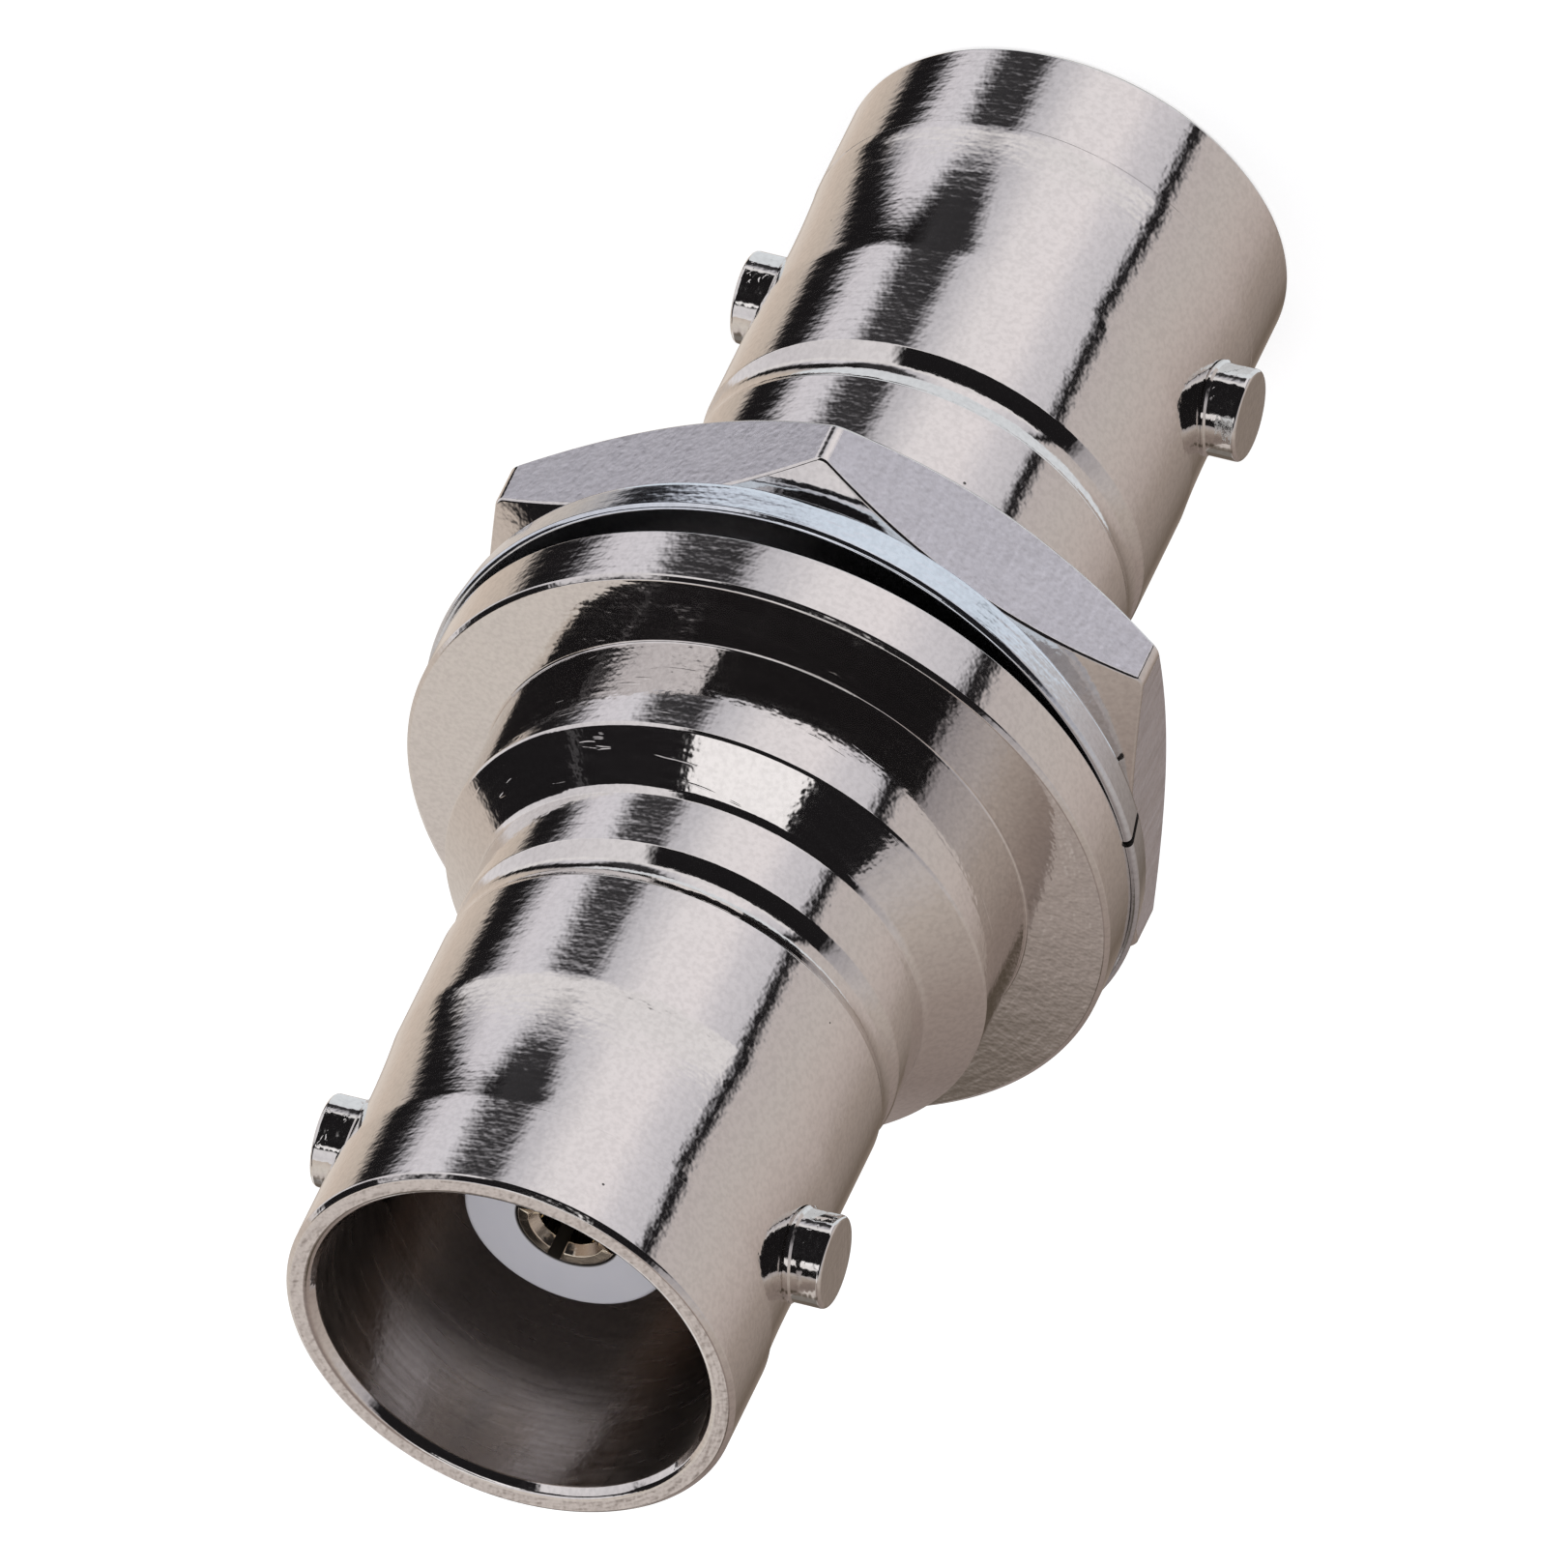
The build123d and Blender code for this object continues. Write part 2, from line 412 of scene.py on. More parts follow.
def stud(name, height, side):
    """Bayonet pin through a jack's wall, with the fine bead that pressing it in leaves at its root.

    Its inner end follows the bore, a hair proud of it, and the bead follows the tube. The outline
    has these rows at the stand-in heights below, which are then moved out to the round walls.
    """
    in_bore, in_wall, on_wall = -3, -2, -1
    level_reach = 0.2
    bead_r = stud_r + stud_bead
    items = [
        (pole_r, in_bore, 0),
        (stud_r, in_bore, stud_foot_round),
        (stud_r, in_wall, 0),
        (bead_r, in_wall, 0),
        (bead_r, on_wall, 0),
        (stud_r, on_wall + stud_bead, 0),
        (stud_r, stud_tip, stud_tip_round),
        (pole_r, stud_tip, 0),
    ]
    points, before, after = profile(items, closed=False)
    turns = full_circle(small_columns)
    rows, into, out = (around(part, turns) for part in (points, before, after))
    walls = ((in_bore, bore_r - stud_proud), (in_wall, tube_r - stud_bead), (on_wall, tube_r))
    for level, radius in walls:
        chosen = np.abs(points[:, 1] - level) < level_reach
        rows[chosen, :, Z] += np.sqrt(radius ** 2 - rows[chosen, :, Y] ** 2) - level
    for part in (rows, into, out):
        part[...] = np.stack([side * part[..., Z], side * part[..., Y], part[..., X]], -1)
    rows[..., Z] += height
    last = len(rows) - 1
    caps = [[(0, c) for c in reversed(range(small_columns))], [(last, c) for c in range(small_columns)]]
    rows, into, out = rows[:, ::-1], into[:, ::-1], out[:, ::-1]
    return skin(name, rows, into, out, wrap_rows=False, caps=caps)


def insulator(name, height):
    """Dielectric, with its nose in the mouth of a jack."""
    hole = contact_r + contact_gap
    recess = collar_r + contact_gap
    half = collar_width / 2 + contact_gap
    side = 1 if height is near else -1
    items = [
        (insulator_r, middle, 0),
        (insulator_r, height(web_end), insulator_round),
        (nose_hole_r - nose_gap, height(web_end), nose_root_round),
        (nose_hole_r - nose_gap, height(nose_depth), nose_round),
        (hole, height(nose_depth), contact_hole_round),
        (hole, middle + side * half, 0),
        (recess, middle + side * half, 0),
        (recess, middle, 0),
    ]
    return turned(name, items[::side], columns=insulator_columns)


def contact():
    """Double-ended socket with a collar, cut by crossed slots at both ends."""
    tip, floor = near(nose_depth), near(nose_depth + socket_depth)
    half = collar_width / 2
    top = [
        (contact_r, middle + half, 0),
        (contact_r, tip, contact_tip_round),
        (socket_lead_r, tip, socket_round),
        (socket_r, tip - socket_lead_depth, socket_lead_round),
        (socket_r, floor, socket_round),
        (pole_r, floor, 0),
    ]
    bottom = [(radius, length - height, rounding) for radius, height, rounding in reversed(top)]
    collar = [(collar_r, middle - half, collar_round), (collar_r, middle + half, collar_round)]
    items = [*bottom, *collar, *top]
    last = len(profile(items, closed=False)[0]) - 1
    caps = [[(0, c) for c in reversed(range(small_columns))], [(last, c) for c in range(small_columns)]]
    piece = turned("socket_contact", items, caps=caps, closed=False, columns=small_columns)
    for height in (near, far):
        for quarter in (0, pi / 2):
            cut_slot(piece, height(nose_depth + slot_depth / 2), slot_turn + quarter)
    piece.data.set_sharp_from_angle(angle=radians(35))
    return piece


def cut_slot(piece, height, turn):
    """Cuts one slot across the end of the contact."""
    tool = bmesh.new()
    bmesh.ops.create_cube(tool, size=mm)
    size = Vector((3 * contact_r, slot_width, slot_depth))
    for vertex in tool.verts:
        place = Vector(a * b for a, b in zip(vertex.co, size))
        vertex.co = Quaternion((0, 0, 1), turn) @ place + Vector((0, 0, height * mm))
    mesh = bpy.data.meshes.new("slot_tool")
    tool.to_mesh(mesh)
    tool.free()
    cutter = bpy.data.objects.new("slot_tool", mesh)
    bpy.context.scene.collection.objects.link(cutter)
    cut = piece.modifiers.new("slot", "BOOLEAN")
    cut.operation, cut.object, cut.solver = "DIFFERENCE", cutter, "EXACT"
    bpy.context.view_layer.update()
    result = bpy.data.meshes.new_from_object(piece.evaluated_get(bpy.context.evaluated_depsgraph_get()))
    piece.modifiers.clear()
    piece.data = result
    bpy.data.objects.remove(cutter)


def lock_washer():
    """Spring washer with one slanting split, bowed between the flange and the nut.

    It touches the flange at the split and opposite it, and the nut a quarter turn on. Its outer wall leans
    in towards the nut. Material 1, dark dull nickel, is on the cut faces of the split: partly their dull cut
    surface, partly painted shade of the split's gap.
    """
    bottom = washer_top - washer_thickness
    bow = bottom - nut_top
    items = [
        (washer_inner_r, bottom, washer_inner_round),
        (washer_r - washer_draft, bottom, washer_nut_round),
        (washer_r, washer_top, washer_flange_round),
        (washer_inner_r, washer_top, washer_inner_round),
    ]
    points, before, after = profile(items)
    share = np.linspace(0, 1, washer_columns)[None, :]
    radius, height = points[:, :1], points[:, 1:2]
    lean = ((bottom + washer_top) / 2 - height) * tan(split_slant) / radius
    half_gap = split_width / 2 / cos(split_slant) / radius
    turns = split_turn + lean + half_gap + share * (2 * pi - 2 * half_gap)
    fall = bow * np.sin(turns - split_turn) ** 2
    slope = bow * np.sin(2 * (turns - split_turn)) / radius

    def swept(flat, across, upward):
        radial = flat[:, :1]
        return np.stack([radial * np.cos(turns) - across * np.sin(turns),
                         radial * np.sin(turns) + across * np.cos(turns), upward], -1)

    def directions(flat):
        upward = np.broadcast_to(flat[:, 1:2], turns.shape)
        made = swept(flat, upward * slope, upward)
        return made / np.linalg.norm(made, axis=-1, keepdims=True)

    rows = swept(points, np.zeros_like(turns), height - fall)
    count = len(points)
    caps = [[(r, 0) for r in range(count)], [(r, washer_columns - 1) for r in reversed(range(count))]]
    piece = skin("spring_washer", rows, directions(before), directions(after), wrap_columns=False, caps=caps)
    # Painted shade: the cut faces take the dark dull nickel, for the shade in the split
    for cut_face in piece.data.polygons[-2:]:
        cut_face.material_index = 1
    return piece


def hexagon():
    """Points and outward normals round a hexagon with round corners, and which columns are flat."""
    points, normals = [], []
    corner_r = nut_flat_r / cos(radians(30))
    for k in range(6):
        middle_turn = nut_turn + k * pi / 3
        centre_r = corner_r - nut_corner_round / cos(radians(30))
        centre = centre_r * np.array([cos(middle_turn), sin(middle_turn)])
        for step in range(nut_corner_steps + 1):
            turn = middle_turn + radians(60) * (step / nut_corner_steps - 0.5)
            normal = np.array([cos(turn), sin(turn)])
            points.append(centre + nut_corner_round * normal)
            normals.append(normal)
        next_turn = middle_turn + pi / 3
        next_start = centre_r * np.array([cos(next_turn), sin(next_turn)]) + nut_corner_round * normal
        start = points[-1]
        for step in range(1, nut_side_steps):
            points.append(start + (next_start - start) * step / nut_side_steps)
            normals.append(normal)
    is_flat = np.arange(len(points)) % (nut_side_steps + nut_corner_steps) >= nut_corner_steps
    return np.array(points), np.array(normals), is_flat


def hex_nut():
    """Hexagon nut with chamfered faces and its thread. Material 1 is on its six flats."""
    outline, side_normals, is_flat = hexagon()
    columns = len(outline)
    reach = np.hypot(*outline.T)
    ray = outline / reach[:, None]
    turns = np.arctan2(outline[:, 1], outline[:, 0])
    drop = (reach - nut_face_r) * tan(nut_chamfer_angle)
    edge = nut_edge_round
    edge_drop = edge * tan(nut_chamfer_angle)
    rows, before, after = [], [], []

    def put(radius, height, normal_before, normal_after):
        radius = np.broadcast_to(radius, (columns,))
        height = np.broadcast_to(height, (columns,))
        rows.append(np.column_stack([ray * radius[:, None], height]))
        before.append(normal_before)
        after.append(normal_after)

    def straight(sign):
        return np.tile((0.0, 0.0, float(sign)), (columns, 1))

    def chamfer(sign):
        rise = np.full(columns, sign * cos(nut_chamfer_angle))
        return np.column_stack([ray * sin(nut_chamfer_angle), rise])

    wall = np.column_stack([side_normals, np.zeros(columns)])
    inner = nut_bore_r + nut_bore_chamfer
    put(inner, nut_bottom, straight(-1), straight(-1))
    put(nut_face_r, nut_bottom, straight(-1), chamfer(-1))
    put(reach - edge, nut_bottom + drop - edge_drop, chamfer(-1), chamfer(-1))
    put(reach, nut_bottom + drop + edge, wall, wall)
    put(reach, nut_top - drop - edge, wall, wall)
    put(reach - edge, nut_top - drop + edge_drop, chamfer(1), chamfer(1))
    put(nut_face_r, nut_top, chamfer(1), straight(1))
    put(inner, nut_top, straight(1), straight(1))
    steps = int((nut_top - nut_bottom) / thread_pitch * rows_per_pitch)
    heights = np.linspace(nut_top, nut_bottom, steps + 1)[:-1]
    bore, normals = threaded(nut_radius, turns, heights[1:], -1)
    after[-1] = threaded(nut_radius, turns, heights[:1] - hair, -1)[1][0]
    before[0] = threaded(nut_radius, turns, np.array([nut_bottom + hair]), -1)[1][0]
    rows, before, after = (np.concatenate([np.array(a), b]) for a, b in
                           ((rows, bore), (before, normals), (after, normals)))

    def surface(radius, height):
        inside = nut_bottom + nut_flat_margin < height < nut_top - nut_flat_margin
        on_wall = radius > nut_flat_r and inside
        return np.where(is_flat, 1, 0) if on_wall else 0

    return skin("panel_nut", rows, before, after, surface=surface)


# Node helpers

def add(tree, kind, inputs=None, **settings):
    """A node with its settings, and its inputs set to values or joined to sockets."""
    made = tree.nodes.new(kind)
    for key, value in settings.items():
        setattr(made, key, value)
    for key, value in (inputs or {}).items():
        if isinstance(value, bpy.types.NodeSocket):
            tree.links.new(value, made.inputs[key])
        else:
            made.inputs[key].default_value = value
    return made


def calc(tree, operation, *values):
    """A math node's result."""
    return add(tree, "ShaderNodeMath", dict(enumerate(values)), operation=operation).outputs[0]


def line(tree, value, slope, start):
    """A straight line over a value."""
    return calc(tree, "MULTIPLY_ADD", value, slope, start)


def step_up(tree, value, start, end):
    """0 under start, 1 over end, and smooth between them."""
    made = add(tree, "ShaderNodeMapRange", {"Value": value, "From Min": start, "From Max": end},
               interpolation_type="SMOOTHSTEP")
    return made.outputs["Result"]


def between(tree, value, start, end, soft):
    """1 between two places, with soft edges."""
    rise = step_up(tree, calc(tree, "SUBTRACT", value, start), -soft, soft)
    fall = step_up(tree, calc(tree, "SUBTRACT", end, value), -soft, soft)
    return calc(tree, "MULTIPLY", rise, fall)


def blend_colours(tree, share, first, second):
    made = add(tree, "ShaderNodeMix", data_type="RGBA")
    for slot, value in (("Factor_Float", share), ("A_Color", first), ("B_Color", second)):
        socket = next(s for s in made.inputs if s.identifier == slot)
        if isinstance(value, bpy.types.NodeSocket):
            tree.links.new(value, socket)
        else:
            socket.default_value = value if slot == "Factor_Float" else (*value, 1)
    return next(s for s in made.outputs if s.identifier == "Result_Color")


def noise(tree, vector, per_mm, detail=3.0, roughness=0.5):
    made = add(tree, "ShaderNodeTexNoise", {"Vector": vector, "Scale": per_mm, "Detail": detail,
                                            "Roughness": roughness})
    return made.outputs["Fac"]


# Materials

# Noise cells in a millimetre, and how much longer a tool mark is than it is wide
mark_cells, grain_cells, wave_cells, scratch_cells = 7.0, 6.0, 1.2, 4.0
patch_cells, wear_cells, cloud_cells = 0.9, 9.0, 1.3
mark_stretch, dielectric_stretch = 9.0, 10.0

# Where scratches and wear set in, and where marks turn rough, on the noise's scale of 0 to 1
scratch_ends, wear_ends, mark_ends = (0.63, 0.69), (0.35, 0.7), (0.25, 0.75)
worn_share = 0.4

# Heights of the relief, in metres, before the noise's own range
wave_high, scratch_high, dielectric_high = 5e-6, 3e-6, 2e-6

# The cone, between these radii, has short scratches
scratched, scratched_soft = (4.92, 5.84), 0.04

# Pits: cells in a millimetre, radius, share of the cells, depth of their colour, added roughness
pit_cells, pit_r, pit_share, pit_dark, pit_rough = 0.55, 0.045, 0.25, 0.75, 0.4
pit_colour = (0.02, 0.018, 0.016)
# Painted shade: the dark colour given to the dielectric's wall in the hole round the contact
painted_hole_shade = (0.03, 0.026, 0.022)


def new_material(name):
    material = bpy.data.materials.new(name)
    material.use_nodes = True
    material.node_tree.nodes.clear()
    return material, material.node_tree


def place_mm(tree):
    """The point on the part, in millimetres."""
    made = add(tree, "ShaderNodeVectorMath", {0: add(tree, "ShaderNodeTexCoord").outputs["Object"]},
               operation="SCALE")
    made.inputs["Scale"].default_value = 1 / mm
    return made.outputs[0]


def parts_of(tree, vector):
    """The three parts of a vector."""
    return add(tree, "ShaderNodeSeparateXYZ", {0: vector}).outputs


def distance_from(tree, place, axis):
    """How far a point is from an axis of the part."""
    parts = parts_of(tree, place)
    one, two = [parts[k] for k in range(3) if k != axis]
    square = calc(tree, "ADD", calc(tree, "MULTIPLY", one, one), calc(tree, "MULTIPLY", two, two))
    return calc(tree, "SQRT", square)


def lathe_space(tree, place, axis, stretch):
    """Coordinates that run slowly along a tool mark round the axis, and fast across it."""
    parts = parts_of(tree, place)
    along = parts[axis]
    one, two = [parts[k] for k in range(3) if k != axis]
    radius = distance_from(tree, place, axis)
    tight = 1 / stretch
    return add(tree, "ShaderNodeCombineXYZ", {
        0: calc(tree, "ADD", radius, calc(tree, "MULTIPLY", one, tight)),
        1: calc(tree, "ADD", along, calc(tree, "MULTIPLY", two, tight)),
        2: calc(tree, "MULTIPLY", calc(tree, "ADD", one, two), tight)}).outputs[0]


def pits(tree, place):
    """1 in scattered small pits."""
    cells = add(tree, "ShaderNodeTexVoronoi", {"Vector": place, "Scale": pit_cells, "Randomness": 1.0})
    near_point = calc(tree, "LESS_THAN", calc(tree, "DIVIDE", cells.outputs["Distance"], pit_cells), pit_r)
    chosen = add(tree, "ShaderNodeSeparateColor", {0: cells.outputs["Color"]}).outputs[0]
    return calc(tree, "MULTIPLY", near_point, calc(tree, "LESS_THAN", chosen, pit_share))


def metal(name, colour, tint, roughness, spread, axis=Z, marks_high=2.2e-6, grain_high=3.2e-6,
          anisotropy=0.3, pitted=True, drawn=False, wear=0.16):
    """Turned or drawn metal: tool marks, grain, a soft waviness, scratches, tint patches and pits."""
    material, tree = new_material(name)
    place = place_mm(tree)
    if drawn:
        squeeze = {0: place, 1: (1, 1, 1 / mark_stretch)}
        marks_at = add(tree, "ShaderNodeVectorMath", squeeze, operation="MULTIPLY").outputs[0]
    else:
        marks_at = lathe_space(tree, place, axis, mark_stretch)
    marks = noise(tree, marks_at, mark_cells, 1.0, 0.6)
    grain = noise(tree, place, grain_cells, 1.0, 0.6)
    waves = noise(tree, place, wave_cells, 1.0)
    on_cone = between(tree, distance_from(tree, place, Z), *scratched, scratched_soft)
    scratches = step_up(tree, noise(tree, marks_at, scratch_cells, 2.0, 0.7), *scratch_ends)
    scratches = calc(tree, "MULTIPLY", scratches, on_cone)
    shade = blend_colours(tree, noise(tree, place, patch_cells, 3.0, 0.6), colour, tint)
    worn = calc(tree, "MULTIPLY", step_up(tree, noise(tree, place, wear_cells, 1.0), *wear_ends), wear)
    shade = blend_colours(tree, worn, shade, tuple(worn_share * c for c in colour))
    layers = ((marks, marks_high), (grain, grain_high), (waves, wave_high), (scratches, scratch_high))
    height = 0.0
    for layer, layer_high in layers:
        height = calc(tree, "MULTIPLY_ADD", layer, layer_high, height)
    rough = add(tree, "ShaderNodeMapRange", {"Value": marks, "From Min": mark_ends[0],
                                             "From Max": mark_ends[1], "To Min": roughness - spread,
                                             "To Max": roughness + spread})
    rough = rough.outputs["Result"]
    if pitted:
        pit = pits(tree, place)
        shade = blend_colours(tree, calc(tree, "MULTIPLY", pit, pit_dark), shade, pit_colour)
        rough = calc(tree, "ADD", rough, calc(tree, "MULTIPLY", pit, pit_rough))
    bump = add(tree, "ShaderNodeBump", {"Height": height, "Strength": 1.0, "Distance": 1.0})
    tangent = add(tree, "ShaderNodeTangent", direction_type="RADIAL", axis="XYZ"[axis])
    shader = add(tree, "ShaderNodeBsdfPrincipled", {
        "Base Color": shade, "Metallic": 1.0, "Roughness": rough, "Normal": bump.outputs[0],
        "Anisotropic": anisotropy, "Anisotropic Rotation": 0.0 if drawn else 0.25,
        "Tangent": tangent.outputs[0]})
    add(tree, "ShaderNodeOutputMaterial", {"Surface": shader.outputs[0]})
    return material


def dielectric():
    """White fluoropolymer, turned: waxy, a little cool, with faint tool marks.

    The narrow hole round the contact has painted shade: its wall is coloured dark for the shade down in it.
    """
    material, tree = new_material("white_dielectric")
    place = place_mm(tree)
    marks = noise(tree, lathe_space(tree, place, Z, dielectric_stretch), mark_cells)
    # Painted shade in part: the white is greyed to about 0.6 for the shade in the bore round it, and the
    # cool tint is its own
    shade = blend_colours(tree, noise(tree, place, cloud_cells), (0.60, 0.60, 0.65), (0.66, 0.65, 0.69))
    # Painted shade: the dielectric is coloured dark in the narrow hole round the contact, where shade falls
    past_painted_shade = step_up(tree, distance_from(tree, place, Z), *hole_shade_radii)
    shade = blend_colours(tree, past_painted_shade, painted_hole_shade, shade)
    bump = add(tree, "ShaderNodeBump", {"Height": calc(tree, "MULTIPLY", marks, dielectric_high),
                                        "Strength": 1.0, "Distance": 1.0})
    rough = add(tree, "ShaderNodeMapRange", {"Value": marks, "To Min": 0.35, "To Max": 0.6})
    shader = add(tree, "ShaderNodeBsdfPrincipled", {
        "Base Color": shade, "Roughness": rough.outputs["Result"], "Normal": bump.outputs[0],
        "Subsurface Weight": 0.2, "Subsurface Radius": (0.4, 0.4, 0.5), "Subsurface Scale": mm})
    add(tree, "ShaderNodeOutputMaterial", {"Surface": shader.outputs[0]})
    return material


# Studio

# What polished metal sees, by direction. side is a direction's angle round the axis from the
# camera's side, and rise its height over the horizon, both in degrees.
black = (0.012, 0.011, 0.012)
lamp_white = (1.05, 1.03, 1.04)
zenith_white = (0.88, 0.86, 0.86)
under_white = (0.78, 0.82, 0.86)
strip_white = (0.84, 0.82, 0.83)
screen_white = (0.85, 0.83, 0.83)
umber = (0.10, 0.08, 0.06)

# The table's paper, by side: cool and pale in front, brown on one side and warm behind
table_tones = [
    (-180, (0.31, 0.25, 0.21)), (-165, (0.74, 0.66, 0.59)), (-145, (0.67, 0.57, 0.49)),
    (-128, (0.60, 0.52, 0.45)), (-100, (0.42, 0.41, 0.44)), (-86, (0.76, 0.74, 0.79)),
    (-70, (0.76, 0.75, 0.80)), (-42, (0.54, 0.53, 0.57)), (-32, (0.66, 0.65, 0.69)),
    (-16, (0.88, 0.85, 0.87)), (6, (0.90, 0.86, 0.88)), (18, (0.74, 0.72, 0.76)),
    (36, (0.64, 0.63, 0.67)), (46, (0.57, 0.52, 0.51)), (66, (0.58, 0.53, 0.505)),
    (84, (0.57, 0.505, 0.475)), (100, (0.50, 0.43, 0.40)), (116, (0.37, 0.31, 0.275)),
    (134, (0.29, 0.24, 0.21)), (156, (0.16, 0.125, 0.10)), (180, (0.31, 0.25, 0.21)),
]

# The room's walls, by side: black on the camera's side
room_tones = [
    (-180, (0.64, 0.58, 0.55)), (-172, (0.70, 0.65, 0.60)), (-134, (0.62, 0.54, 0.48)),
    (-128, (0.82, 0.80, 0.82)), (-98, (0.70, 0.68, 0.71)), (-44, (0.82, 0.80, 0.82)), (-39, black),
    (48, black), (54, (0.42, 0.40, 0.42)), (74, (0.55, 0.51, 0.50)), (90, (0.50, 0.44, 0.40)),
    (120, (0.34, 0.28, 0.25)), (150, (0.26, 0.21, 0.19)), (168, (0.32, 0.27, 0.25)),
    (176, (0.42, 0.36, 0.33)), (180, (0.64, 0.58, 0.55)),
]

# Light on matt surfaces, and the floor
plain_light = (0.62, 0.62, 0.64)
floor_half_m, floor_colour, floor_glow = 3.0, (0.62, 0.62, 0.62, 1), 0.62

# Lamps: name, place and size in metres, power in watts
lamps = (("key", (0.25, 0.35, 0.6), 0.5, 1.2), ("fill", (-0.4, -0.1, 0.5), 0.6, 0.6))


def make_camera():
    azimuth, elevation = radians(camera_azimuth), radians(camera_elevation)
    back = Vector((cos(azimuth) * cos(elevation), sin(azimuth) * cos(elevation), sin(elevation)))
    camera = bpy.data.objects.new("camera", bpy.data.cameras.new("camera"))
    camera.data.lens, camera.data.sensor_width = camera_lens, camera_sensor
    camera.data.clip_start, camera.data.clip_end = camera_reach_m
    camera.location = (Vector(camera_aim) + back * camera_distance) * mm
    camera.rotation_mode = "QUATERNION"
    camera.rotation_quaternion = back.to_track_quat("Z", "Y") @ Quaternion((0, 0, 1), radians(camera_roll))
    bpy.context.scene.collection.objects.link(camera)
    bpy.context.scene.camera = camera


def tones_round(tree, side, tones):
    """Colour by side, from a list of (side, colour)."""
    share = add(tree, "ShaderNodeMapRange", {"Value": side, "From Min": -180.0, "From Max": 180.0})
    made = add(tree, "ShaderNodeValToRGB", {"Fac": share.outputs["Result"]})
    points = made.color_ramp.elements
    while len(points) < len(tones):
        points.new(0.5)
    for point, (place, colour) in zip(points, tones):
        point.position = (place + 180) / 360
        point.color = (*colour, 1)
    return made.outputs["Color"]


def patch(tree, side, rise, sides, rises, soft, rise_soft=None):
    """1 in a patch of directions, with soft edges."""
    upright = between(tree, rise, *rises, rise_soft or soft)
    return calc(tree, "MULTIPLY", between(tree, side, *sides, soft), upright)


def studio_cards(tree):
    """A white tent with black cards: the table under the horizon's low edge, and the room above."""
    parts = parts_of(tree, add(tree, "ShaderNodeTexCoord").outputs["Generated"])
    azimuth = calc(tree, "DEGREES", calc(tree, "ARCTAN2", parts[Y], parts[X]))
    side = calc(tree, "WRAP", calc(tree, "SUBTRACT", camera_azimuth, azimuth), 180.0, -180.0)
    rise = calc(tree, "DEGREES", calc(tree, "ARCSINE", parts[Z]))
    table = table_cards(tree, side, rise)
    room = room_cards(tree, side, rise)
    return blend_colours(tree, step_up(tree, rise, -28.0, -26.0), table, room)


def table_cards(tree, side, rise):
    """The table round the part, as upright walls see it: pale, with a black card that has a hole."""
    table = tones_round(tree, side, table_tones)
    strip = calc(tree, "MULTIPLY", between(tree, side, -124.0, 34.0, 3.0), step_up(tree, rise, -36.0, -32.0))
    table = blend_colours(tree, strip, table, strip_white)

    # the card's edges and its hole's edges slant, and cross these sides where upright walls see them
    above = calc(tree, "ADD", rise, camera_elevation)
    card_sides = line(tree, above, -1.4, -122.0), line(tree, above, -0.6, -41.0)
    hole_sides = line(tree, above, -2.6, -96.0), line(tree, above, 2.0, -67.0)
    hole = calc(tree, "MULTIPLY", between(tree, side, *hole_sides, 7.0), step_up(tree, rise, -47.0, -39.0))
    card = patch(tree, side, rise, card_sides, (-52.0, -31.0), 5.0, 1.0)
    card = calc(tree, "MULTIPLY", card, calc(tree, "SUBTRACT", 1.0, hole))

    # past these sides its upper edge is mostly lit, and the rest of it a little
    faint = calc(tree, "MULTIPLY", step_up(tree, side, -84.0, -78.0), step_up(tree, rise, -39.0, -34.0))
    card = calc(tree, "MULTIPLY", card, line(tree, faint, -0.75, 1.0))
    card = calc(tree, "MULTIPLY", card, line(tree, step_up(tree, side, -72.0, -60.0), -0.04, 1.0))
    thin_card = between(tree, side, 35.5, 43.0, 3.0)
    table = blend_colours(tree, calc(tree, "MAXIMUM", card, thin_card), table, black)
    under = calc(tree, "SUBTRACT", 1.0, step_up(tree, rise, -55.0, -52.0))
    return blend_colours(tree, under, table, under_white)


def room_cards(tree, side, rise):
    """The room above the table: black on the camera's side, with one lamp high up, and pale behind."""
    room = tones_round(tree, side, room_tones)
    far_side = calc(tree, "GREATER_THAN", calc(tree, "ABSOLUTE", side), 166.0)
    screen = calc(tree, "MULTIPLY", far_side, between(tree, rise, 3.0, 24.0, 2.0))
    room = blend_colours(tree, screen, room, screen_white)
    low_back = patch(tree, side, rise, (140.0, 166.0), (26.0, 38.0), 3.0, 4.0)
    behind = calc(tree, "MULTIPLY", between(tree, side, 168.0, 179.0, 2.0),
                  line(tree, step_up(tree, rise, 33.0, 43.0), -0.85, 0.85))
    room = blend_colours(tree, calc(tree, "MAXIMUM", low_back, behind), room, umber)

    # black flags. The third one slants, and the fourth is narrow at its foot
    slant = line(tree, side, 0.36, 65.2), line(tree, side, 0.36, 82.2)
    front_left = line(tree, step_up(tree, rise, 35.0, 37.0), -20.0, -47.0)
    flags = [
        patch(tree, side, rise, (-134.0, -97.0), (11.5, 47.0), 2.0),
        patch(tree, side, rise, (-146.0, -130.0), (30.0, 47.0), 2.0),
        patch(tree, side, rise, (-98.0, -38.0), slant, 2.0),
        patch(tree, side, rise, (front_left, -38.0), (24.0, 60.0), 2.0),
        calc(tree, "MULTIPLY", between(tree, side, 40.0, 59.0, 1.5), step_up(tree, rise, 46.0, 50.0)),
    ]
    for flag in flags:
        room = blend_colours(tree, flag, room, black)
    lamp = patch(tree, side, rise, (-51.0, 11.0), (53.0, 67.0), 1.5)
    room = blend_colours(tree, lamp, room, lamp_white)
    return blend_colours(tree, step_up(tree, rise, 77.0, 80.0), room, zenith_white)


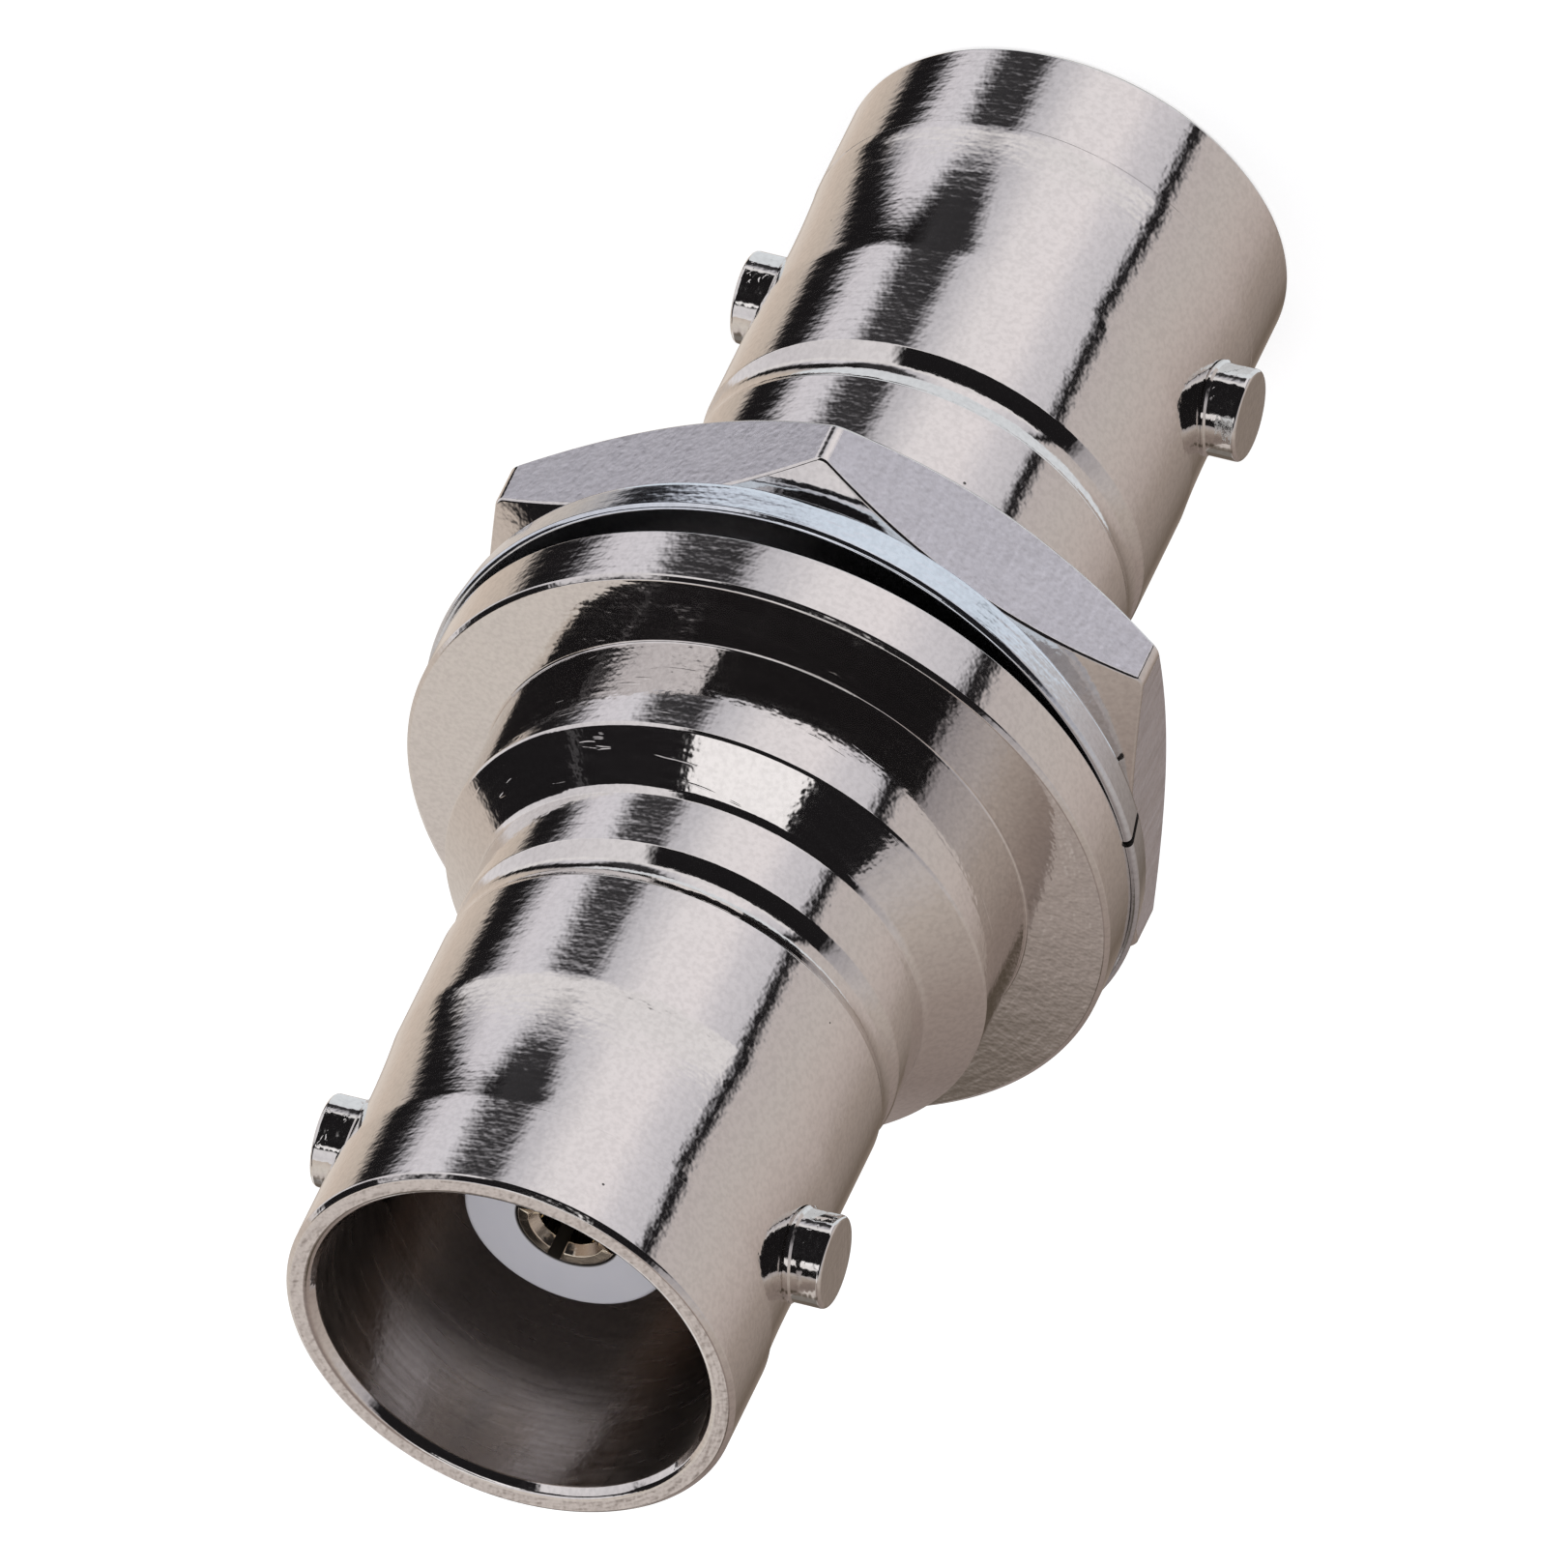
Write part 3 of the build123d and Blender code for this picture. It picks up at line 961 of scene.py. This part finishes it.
def make_world():
    """White to the camera, a plain soft light on matt surfaces and the studio's cards in metal."""
    world = bpy.data.worlds.new("studio")
    world.use_nodes = True
    tree = world.node_tree
    tree.nodes.clear()
    rays = add(tree, "ShaderNodeLightPath").outputs
    shiny = calc(tree, "MAXIMUM", rays["Is Glossy Ray"], rays["Is Transmission Ray"])
    plain = blend_colours(tree, rays["Is Camera Ray"], plain_light, (1.0, 1.0, 1.0))
    colour = blend_colours(tree, shiny, plain, studio_cards(tree))
    light = add(tree, "ShaderNodeBackground", {"Color": colour, "Strength": 1.0})
    add(tree, "ShaderNodeOutputWorld", {"Surface": light.outputs[0]})
    bpy.context.scene.world = world


def make_floor():
    """Pale floor. Part of its white is its own, so that the object's shadow on it stays light."""
    mesh = bpy.data.meshes.new("floor")
    half = floor_half_m
    corners = [(-half, -half, 0), (half, -half, 0), (half, half, 0), (-half, half, 0)]
    mesh.from_pydata(corners, [], [(0, 1, 2, 3)])
    floor = bpy.data.objects.new("floor", mesh)
    bpy.context.scene.collection.objects.link(floor)
    material, tree = new_material("pale_floor")
    rays = add(tree, "ShaderNodeLightPath").outputs
    shiny = calc(tree, "MAXIMUM", rays["Is Glossy Ray"], rays["Is Transmission Ray"])
    seen = calc(tree, "MAXIMUM", rays["Is Camera Ray"], shiny)
    strength = calc(tree, "MULTIPLY", seen, floor_glow)
    glow = add(tree, "ShaderNodeEmission", {"Color": (1, 1, 1, 1), "Strength": strength})
    matt = add(tree, "ShaderNodeBsdfDiffuse", {"Color": floor_colour})
    both = add(tree, "ShaderNodeAddShader", {0: glow.outputs[0], 1: matt.outputs[0]})
    add(tree, "ShaderNodeOutputMaterial", {"Surface": both.outputs[0]})
    mesh.materials.append(material)
    floor.visible_glossy = False


def make_lamp(name, place, size, power):
    """Soft square lamp that faces the part's middle. Metal sees the studio's cards instead of it."""
    lamp = bpy.data.lights.new(name, "AREA")
    lamp.size, lamp.energy = size, power
    piece = bpy.data.objects.new(name, lamp)
    piece.location = place
    to_part = Vector((0, 0, middle * mm)) - piece.location
    piece.rotation_mode = "QUATERNION"
    piece.rotation_quaternion = to_part.to_track_quat("-Z", "Y")
    piece.visible_glossy = False
    bpy.context.scene.collection.objects.link(piece)


# Build

nickel = metal("nickel_turned", (0.83, 0.80, 0.78), (0.79, 0.765, 0.75), 0.07, 0.02)
nickel_bore = metal("nickel_bore", (0.66, 0.60, 0.56), (0.58, 0.52, 0.48), 0.24, 0.05,
                    marks_high=4e-6, anisotropy=0.9, pitted=False)
# Dark, rough nickel for the flange's underside and the washer's cut faces: partly their dull finish, partly
# painted shade of the gaps there
nickel_dull_painted_shade = metal("nickel_dull_painted_shade", (0.24, 0.22, 0.21), (0.18, 0.17, 0.16), 0.5, 0.05, pitted=False)
nickel_stud = metal("nickel_stud", (0.84, 0.82, 0.80), (0.80, 0.78, 0.76), 0.06, 0.02, axis=X,
                    marks_high=3e-6)
nickel_flat = metal("nickel_flat", (0.89, 0.88, 0.93), (0.82, 0.81, 0.87), 0.38, 0.06,
                    drawn=True, anisotropy=0.4, pitted=False, grain_high=8e-6)
zinc = metal("zinc_washer", (0.80, 0.84, 0.90), (0.74, 0.79, 0.86), 0.10, 0.02, pitted=False,
             marks_high=3e-6)
gold = metal("gold_contact", (0.99, 0.92, 0.79), (0.98, 0.88, 0.72), 0.09, 0.02, pitted=False, wear=0.05)
white = dielectric()

dress(main_body(), "adapter", "nickel", [nickel, nickel_bore, nickel_dull_painted_shade], "main_body")
dress(rear_barrel(), "adapter", "nickel", [nickel, nickel_bore], "rear_barrel")
for end, height in (("near", near), ("far", far)):
    for hand, side in (("right", 1), ("left", -1)):
        pin = stud(f"stud_{end}_{hand}", height(stud_depth), side)
        dress(pin, "adapter", "nickel", [nickel_stud], f"{end}_stud_{hand}")
    block = insulator(f"dielectric_{end}", height)
    dress(block, "adapter", "dielectric", [white], f"{end}_insulator")
dress(contact(), "adapter", "gold", [gold], "centre_contact")
dress(lock_washer(), "washer", "zinc", [zinc, nickel_dull_painted_shade], "lock_washer")
dress(hex_nut(), "nut", "nickel", [nickel, nickel_flat], "hex_nut")

make_camera()
make_world()
make_floor()
for lamp in lamps:
    make_lamp(*lamp)

bpy.context.scene.view_settings.view_transform = "Standard"
